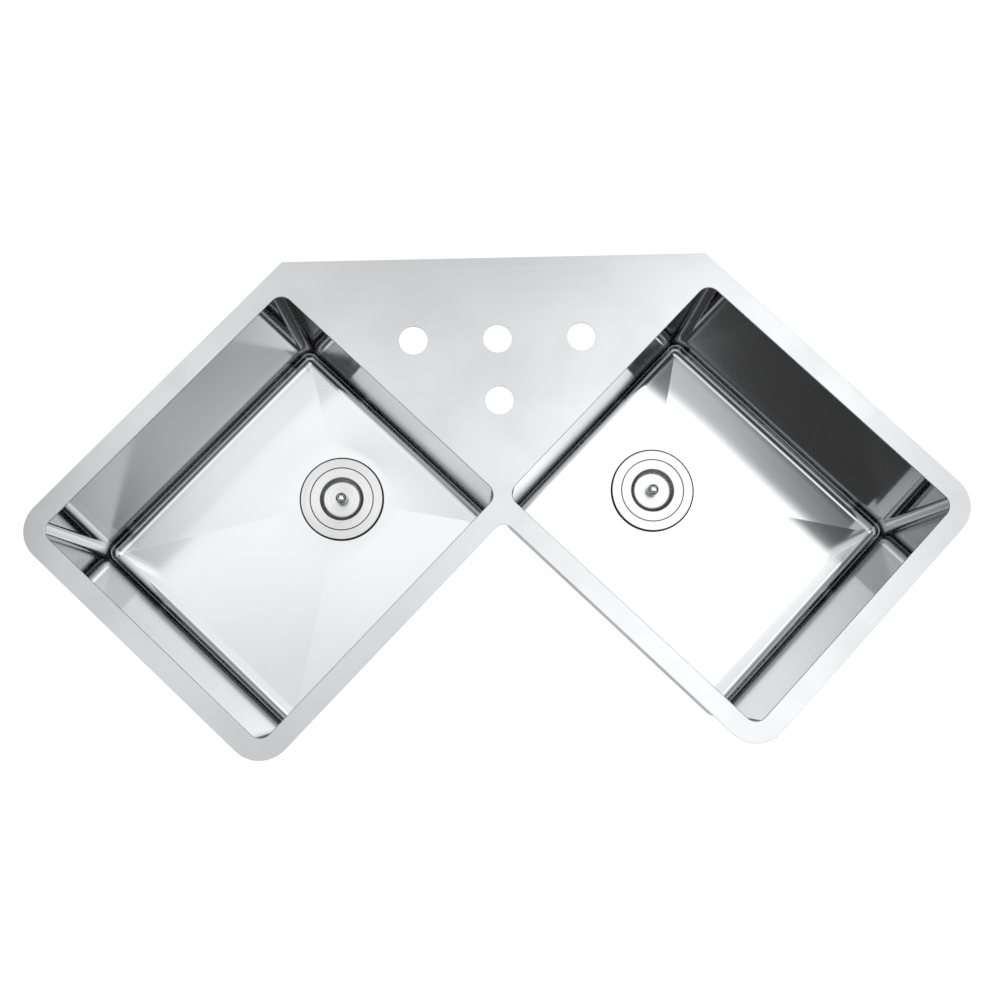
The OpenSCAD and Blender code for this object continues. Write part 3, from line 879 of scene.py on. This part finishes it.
def grow_mesh(host, tree, edge_r, **inputs):
    """Runs a tree on a mesh, rounds the edges, and gives the plain result."""
    obj = add_object("host", host)
    modifier = obj.modifiers.new("tree", "NODES")
    modifier.node_group = tree
    for item in tree.interface.items_tree:
        if item.in_out == "INPUT" and item.name in inputs:
            modifier[item.identifier] = inputs[item.name]
    if edge_r:
        rounding = obj.modifiers.new("edges", "BEVEL")
        rounding.width = edge_r * MM
        rounding.segments = 2
        rounding.limit_method = "ANGLE"
    mesh = bpy.data.meshes.new_from_object(obj.evaluated_get(bpy.context.evaluated_depsgraph_get()))
    mesh.polygons.foreach_set("use_smooth", [True] * len(mesh.polygons))
    mesh.set_sharp_from_angle(angle=radians(30))
    obj.modifiers.clear()
    bpy.data.objects.remove(obj)
    return mesh


REPEAT_ROUND = repeat_round_tree()
RIBBED_PAD = ribbed_pad_tree()


def block_mesh(low, high):
    """A plain block, in millimetres, for a tree to repeat."""
    mesh = bpy.data.meshes.new("block")
    xs, ys, zs = zip(low, high)
    corners = [(x * MM, y * MM, z * MM) for z in zs for y in ys for x in xs]
    faces = [(0, 2, 3, 1), (4, 5, 7, 6), (0, 1, 5, 4), (2, 6, 7, 3), (0, 4, 6, 2), (1, 3, 7, 5)]
    mesh.from_pydata(corners, [], faces)
    mesh.update()
    return mesh


# Pieces under the bowls and in the strainers


def to_drain(side):
    """Carries corners drawn round the upright axis to a drain, with X to the deck."""
    centre = DRAINS[side]

    def carry(place, normal, uv):
        x, y = turn_bowl(side, place[0], -place[1])
        facing = (*turn_bowl(side, normal[0], -normal[1]), normal[2])
        return ((centre[0] + x, centre[1] + y, FLOOR_Z + place[2]), facing, uv)

    return carry


def make_nut(side, profile, block):
    """A turned nut with blocks round it to grip it by."""
    skin = make_turned(side, profile)
    finish = FINISHES["cast_metal"]
    blocks = grow_mesh(block_mesh(*block), REPEAT_ROUND, GRIP_EDGE_R, Count=GRIPS, Material=finish)
    skin.take(blocks, to_drain(side))
    return skin


def make_knob_nut(side):
    """A hexagon nut with its corners turned off."""
    skin = Skin()
    carry = to_drain(side)
    low_z = DISH_Z - 4
    high_z = DISH_Z - 1
    bore = 2.3
    face_r = 4.5 * cos(pi / 6)
    steps = 8

    def column(angle, flat):
        reach = face_r / cos(angle - flat)
        drop = (reach - face_r) * tan(pi / 6)
        c, s = cos(angle), sin(angle)
        outline = [
            (bore, low_z), (face_r, low_z), (reach, low_z + drop), (reach, high_z - drop), (face_r, high_z),
            (bore, high_z),
        ]
        normals = [
            (0, 0, -1), (c / 2, s / 2, -0.87), (cos(flat), sin(flat), 0), (c / 2, s / 2, 0.87), (0, 0, 1),
            (-c, -s, 0),
        ]
        tips = []
        for *ends, normal in zip(outline, outline[1:] + outline[:1], normals):
            tips += [carry((r * c, r * s, z), normal, (angle * r, z)) for r, z in ends]
        return tips

    for k in range(6):
        flat = pi / 6 + k * pi / 3
        skin.grid([column(flat + pi / 3 * (j / steps - 0.5), flat) for j in range(steps + 1)])
    return skin


SLOTS = 14
SLOT_LOW = -41
SLOT_HIGH = -17
SLOT_HALF = 1.5
SLOT_MEAN_R = 35.2
SECTOR_STEPS = 8
# The part of the wall that the slots are cut in
BAND = (-43, -15)
FLOOR_R = 32.2
BASKET = [
    (0, -50, 0), (FLOOR_R, -50, 2.5), (38.2, -8, 0.9), (41.9, -8, 0.38), (41.9, -7.2, 0.38),
    (37.4, -7.2, 1.7), (31.4, -49.2, 1.7), (0, -49.2, 0),
]
# Rings of drain holes in the floor, as (count, ring radius)
DRAIN_HOLES = ((6, 0.36 * FLOOR_R), (12, 0.72 * FLOOR_R))
DRAIN_HOLE_R = 2
HANDLE_Z = -17
HANDLE_R = 1.5
HANDLE_HALF = 35.9
HANDLE_EDGE = 0.15
HANDLE_STEPS = 20


def basket_sector():
    """One slot's share of the basket, drawn round the upright axis, and the two flats of its floor."""
    skin = Skin()
    pitch = 2 * pi / SLOTS

    def sweep(strip):
        turn(skin, [strip], (0, 0), SECTOR_STEPS, 0, -pitch / 2, pitch / 2)

    walls = []
    flats = []
    for (p, n), (q, m) in rounded_profile(BASKET, 5):
        if min(p.x, q.x) < 1:
            flats.append((max(p.x, q.x), p.y, n.y))
        elif abs(p.y - q.y) > 20:
            low, high = (p, q) if p.y < q.y else (q, p)
            walls.append((low, high, n))
            cuts = [low.lerp(high, (z - low.y) / (high.y - low.y)) for z in BAND]
            sweep(((low, n), (cuts[0], n)))
            sweep(((cuts[1], n), (high, n)))
        else:
            sweep(((p, n), (q, m)))
    slot = arc_points((0, SLOT_HIGH - SLOT_HALF), SLOT_HALF, 0, 180, 8, sign=-1)
    slot += arc_points((0, SLOT_LOW + SLOT_HALF), SLOT_HALF, 180, 360, 8, sign=-1)
    edge = [pitch * (k / SECTOR_STEPS - 0.5) * SLOT_MEAN_R for k in range(SECTOR_STEPS + 1)]
    heights = [BAND[0] + (BAND[1] - BAND[0]) * k / 4 for k in range(1, 4)]
    surround = [(x, BAND[0]) for x in edge] + [(edge[-1], z) for z in heights]
    surround += [(x, BAND[1]) for x in reversed(edge)] + [(edge[0], z) for z in reversed(heights)]
    loose = [(x, z) for x in edge[1:3] + edge[-3:-1] for z in heights]

    def on_wall(wall, x, z, normal=None):
        low, high, out = wall
        radius = low.x + (high.x - low.x) * (z - low.y) / (high.y - low.y)
        c, s = cos(x / SLOT_MEAN_R), sin(x / SLOT_MEAN_R)
        facing = (-s * normal[0], c * normal[0], normal[1]) if normal else (out.x * c, out.x * s, out.y)
        return ((radius * c, radius * s, z), facing, (x, z))

    for triangle in fill([surround, [place for place, _ in slot]], loose):
        for wall in walls:
            skin.face([on_wall(wall, x, z) for x, z in triangle])
    skin.grid([[on_wall(wall, *place, normal) for place, normal in slot] for wall in walls], wrap=True)
    return skin, flats


def make_basket(side):
    """The waste basket: its sector repeated, and a floor with drain holes."""
    finish = FINISHES["basket_steel"]
    sector, flats = basket_sector()
    host = sector.build("basket_sector", finish)
    around = grow_mesh(host.data, REPEAT_ROUND, 0, Count=SLOTS, Material=finish)
    bpy.data.objects.remove(host)
    skin = Skin()
    carry = to_drain(side)
    c, s = cos(pi / SLOTS), sin(pi / SLOTS)

    def swing(v):
        """The first slot stands half a pitch from the line to the deck, as in the part."""
        return (v[0] * c - v[1] * s, v[0] * s + v[1] * c, v[2])

    skin.take(around, lambda place, normal, uv: carry(swing(place), swing(normal), uv))
    holes = []
    for count, ring_r in DRAIN_HOLES:
        for k in range(count):
            angle = 2 * pi * k / count
            centre = (ring_r * cos(angle), ring_r * sin(angle))
            holes.append(arc_points(centre, DRAIN_HOLE_R, 0, 360, 20, sign=-1)[:-1])
    for radius, z, up in flats:
        edge = [place for place, _ in arc_points((0, 0), radius, 0, 360, SLOTS * SECTOR_STEPS)[:-1]]
        for triangle in fill([edge] + [[p for p, _ in hole] for hole in holes]):
            skin.face([carry((x, y, z), (0, 0, up), (x, y)) for x, y in triangle])
    for hole in holes:
        rows = [[carry((*p, z), (*n, 0), (p[0], z)) for p, n in hole] for _, z, _ in flats]
        skin.grid(rows, wrap=True)
    return skin


def make_handle(side):
    """The bar across the basket, with its ends chamfered."""
    skin = Skin()
    carry = to_drain(side)
    x, r = HANDLE_HALF - HANDLE_EDGE, HANDLE_R - HANDLE_EDGE
    end = [(HANDLE_HALF, 0, 1), (HANDLE_HALF, r, 1), (x, HANDLE_R, 0)]
    rows = []
    for x, r, lean in [(-x, r, -lean) for x, r, lean in end] + end[::-1]:
        row = []
        for k, (place, normal) in enumerate(arc_points((0, HANDLE_Z), r, 0, 360, HANDLE_STEPS)):
            facing = (lean, 0, 0) if lean else (0, *normal)
            row.append(carry((x, *place), facing, (x, 2 * pi * k / HANDLE_STEPS * HANDLE_R)))
        rows.append(row)
    skin.grid(rows)
    return skin


PAD_T = 2.0
RIB = 0.7
# Floor pads as (low u, high u, low v, high v): one behind the drain, two beside it
FLOOR_PADS = ((-171, 8, -151, 151), (22, 171, 69, 151), (22, 171, -151, -69))
FLOOR_PAD_BENDS = 25
# Side pads, one on each of two walls, as (at the bowl's ends, length, distance from the middle)
SIDE_PADS = ((False, 240, BOWL_W / 2), (True, 200, BOWL_L / 2))
SIDE_PAD_W = 110


def pad_mesh(length, width, bends):
    sizes = {"Length": length, "Width": width, "Thickness": PAD_T - RIB, "Rib Height": RIB}
    sizes = {label: size * MM for label, size in sizes.items()}
    host = bpy.data.meshes.new("pad_host")
    return grow_mesh(host, RIBBED_PAD, PAD_EDGE_R, Bends=bends, Material=FINISHES["pad_rubber"], **sizes)


def make_floor_pads(side):
    """Ribbed pads that follow the creased floor."""
    skin = Skin()
    for low_u, high_u, low_v, high_v in FLOOR_PADS:

        def carry(place, normal, uv):
            u = low_u + place[0]
            v = low_v + place[1]
            facing = (*turn_bowl(side, normal[0], normal[1]), -normal[2])
            return ((*in_bowl(side, u, v), floor_height(u, v) - BOWL_T - place[2]), facing, uv)

        skin.take(pad_mesh(high_u - low_u, high_v - low_v, FLOOR_PAD_BENDS), carry)
    return skin


def make_side_pads(side):
    """One ribbed pad on each wall of a bowl."""
    skin = Skin()
    low_z = -(BOWL_DEPTH + SIDE_PAD_W) / 2
    for (at_ends, span, reach), sign in [(pad, sign) for pad in SIDE_PADS for sign in (1, -1)]:

        def carry(place, normal, uv):
            plan = (place[0] - span / 2, sign * (reach + BOWL_T + place[2]))
            facing = (normal[0], sign * normal[2])
            if at_ends:
                plan, facing = plan[::-1], facing[::-1]
            return ((*in_bowl(side, *plan), low_z + place[1]), (*turn_bowl(side, *facing), normal[1]), uv)

        skin.take(pad_mesh(span, SIDE_PAD_W, 2), carry)
    return skin


# Hand-over


def settle(skin, name, body, node, slot, *others):
    """Builds a piece and hands it to the frame; others are its other finishes."""
    obj = skin.build(name, *(FINISHES[finish] for finish in (slot, *others)))
    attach(obj, body)
    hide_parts(node)


# Nodes with a longer name than their piece
NODES = {"knob": "lid_knob", "handle": "basket_handle"}

settle(make_deck(), "deck_sheet", "sink", "deck", "deck_steel", "mill_steel")
for side, label in SIDES.items():
    basket = f"{label}_waste_basket"
    cover = f"{label}_cover"
    for name, skin, body, *finishes in (
        ("flange_gasket", make_turned(side, GASKET), "sink", "seal_rubber"),
        ("rubber_washer", make_turned(side, RUBBER_WASHER), "sink", "seal_rubber"),
        ("friction_ring", make_turned(side, FRICTION_RING), "sink", "fibre"),
        ("tail_washer", make_turned(side, TAIL_WASHER), "sink", "washer_plastic"),
        ("tailpiece", make_turned(side, TAILPIECE), "sink", "plated_pipe"),
        ("lock_nut", make_nut(side, LOCK_NUT, LOCK_NUT_LUG), "sink", "cast_metal"),
        ("coupling_nut", make_nut(side, COUPLING_NUT, COUPLING_NUT_GRIP), "sink", "cast_metal"),
        ("floor_pads", make_floor_pads(side), "sink", "pad_rubber"),
        ("side_pads", make_side_pads(side), "sink", "pad_rubber"),
        ("basket", make_basket(side), basket, "basket_steel"),
        ("handle", make_handle(side), basket, "basket_steel"),
        ("lid_seal", make_turned(side, LID_SEAL), cover, "seal_rubber"),
        ("knob_nut", make_knob_nut(side), cover, "knob_chrome"),
        ("bowl", make_bowl(side), "sink", "bowl_steel", "mill_steel"),
        # The strainer body and lid take the dark paint as their second finish: painted shade
        ("strainer_body", make_strainer_body(side), "sink", "strainer_steel", "painted_shade_steel"),
        ("lid", make_lid(side), cover, "strainer_steel", "painted_shade_steel"),
        ("knob", make_knob(side), cover, "knob_chrome"),
    ):
        settle(skin, f"{label}_{name}_skin", body, f"{label}_{NODES.get(name, name)}", *finishes)

# Studio

# Lights overhead, each with its centre and then these; the turn is in radians
SOFTBOX = {"Turn": 0.0, "Half X": 0.3, "Half Y": 0.3, "Soft X": 0.2, "Soft Y": 0.2, "Strength": 1.0}
SOFTBOXES = [
    ((-0.025, 0.069), -0.14, 0.343, 0.292, 0.2, 0.2, 0.92),
    ((0.289, 0.005), -0.34, 0.243, 0.379, 0.25, 0.15, 0.45),
    ((0.674, -0.015), -0.80, 0.297, 0.331, 0.35, 0.06, 0.82),
    ((0.0, 0.662), 0.18, 0.477, 0.533, 0.5, 0.15, 0.35),
    ((-0.699, -0.103), 0.90, 0.129, 0.313, 0.8, 0.09, 0.72),
    ((0.23, 0.21), -0.56, 0.13, 0.22, 0.08, 0.15, 0.24),
]
SKY_BASE = 0.06
# Even light for matt surfaces, at which a colour shows as it is written
FILL = 0.95
# White paper stands round the sink: it ends between these heights of a ray
PAPER_FULL, PAPER_END, PAPER = 0.5, 0.75, 0.75
FLOOR_HALF = 6
FLOOR_GAP = 0.002


def softbox_group():
    """One rectangular light overhead, seen from below: Light fades over Soft X and Soft Y at its edges."""
    tree, given, result = new_group("softbox", {"Ray": None, "Centre": None, **SOFTBOX}, ["Light"])
    spin = put(tree, "CombineXYZ", Z=given["Turn"])
    centre = {"Location": given["Centre"], "Rotation": spin}
    placed = put(tree, "Mapping", {"vector_type": "TEXTURE"}, Vector=given["Ray"], **centre)
    split = put(tree, "SeparateXYZ", i0=placed).outputs
    light = given["Strength"]
    for axis in "XY":
        half = given[f"Half {axis}"]
        soft = maths(tree, "MULTIPLY", given[f"Soft {axis}"], 0.5)
        inner, outer = maths(tree, "SUBTRACT", half, soft), maths(tree, "ADD", half, soft)
        edge = ramp(tree, maths(tree, "ABSOLUTE", split[axis]), inner, outer, 1, 0, soft=True)
        light = maths(tree, "MULTIPLY", light, edge)
    wire(result, Light=light)
    return tree


def light_path(tree):
    """What the camera sees, and what metal or glass mirrors, as two masks."""
    path = put(tree, "LightPath").outputs
    return path, maths(tree, "MAXIMUM", path["Is Glossy Ray"], path["Is Transmission Ray"])


def make_world():
    world = bpy.data.worlds.new("studio")
    bpy.context.scene.world = world
    tree = emptied(world)
    ray = put(tree, "TexCoord").outputs["Generated"]
    group = softbox_group()
    total = 0
    for centre, *values in SOFTBOXES:
        box = use(tree, group, Ray=ray, Centre=(*centre, 0), **dict(zip(SOFTBOX, values)))
        total = maths(tree, "ADD", total, box)
    total = maths(tree, "ADD", total, SKY_BASE)
    path, mirrored = light_path(tree)
    height = put(tree, "SeparateXYZ", i0=ray).outputs["Z"]
    low = ramp(tree, height, PAPER_FULL, PAPER_END, PAPER, 0, soft=True)
    paper = maths(tree, "MAXIMUM", path["Is Camera Ray"], maths(tree, "MULTIPLY", mirrored, low))
    total = maths(tree, "MAXIMUM", total, maths(tree, "MULTIPLY", path["Is Diffuse Ray"], FILL))
    total = maths(tree, "MAXIMUM", total, paper)
    glow = put(tree, "Background", Color=(1, 1, 1, 1), Strength=total)
    put(tree, "OutputWorld", Surface=glow)


def make_floor():
    """White paper under the sink, with a little of its shadow."""
    mesh = bpy.data.meshes.new("studio_floor")
    z = cad_box[0][2] - FLOOR_GAP
    corners = [(x * FLOOR_HALF, y * FLOOR_HALF, z) for x, y in ((-1, -1), (1, -1), (1, 1), (-1, 1))]
    mesh.from_pydata(corners, [], [(0, 1, 2, 3)])
    floor = add_object("studio_floor", mesh)
    material = bpy.data.materials.new("studio_floor")
    tree = emptied(material)
    path, mirrored = light_path(tree)
    seen = maths(tree, "MULTIPLY", path["Is Camera Ray"], 0.9)
    share = maths(tree, "MAXIMUM", seen, maths(tree, "MULTIPLY", mirrored, 0.6))
    paper = put(tree, "BsdfDiffuse", Color=(0.85, 0.85, 0.85, 1))
    glow = put(tree, "Emission", Color=(1, 1, 1, 1), Strength=1.05)
    mix = put(tree, "MixShader", i0=share, i1=paper, i2=glow)
    put(tree, "OutputMaterial", Surface=mix)
    mesh.materials.append(material)


def make_camera():
    """The camera, where the photograph's edges and holes put it."""
    data = bpy.data.cameras.new("photo_camera")
    data.sensor_width = 36
    data.lens = 40.83
    data.shift_x = -0.0107
    data.shift_y = 0.0399
    data.clip_start = 0.01
    camera = add_object("photo_camera", data)
    camera.location = (-0.0358, -0.4068, 1.331)
    camera.rotation_euler = [radians(angle) for angle in (6.966, -1.651, -1.872)]
    bpy.context.scene.camera = camera


make_world()
make_floor()
make_camera()
bpy.context.scene.view_settings.view_transform = "Standard"
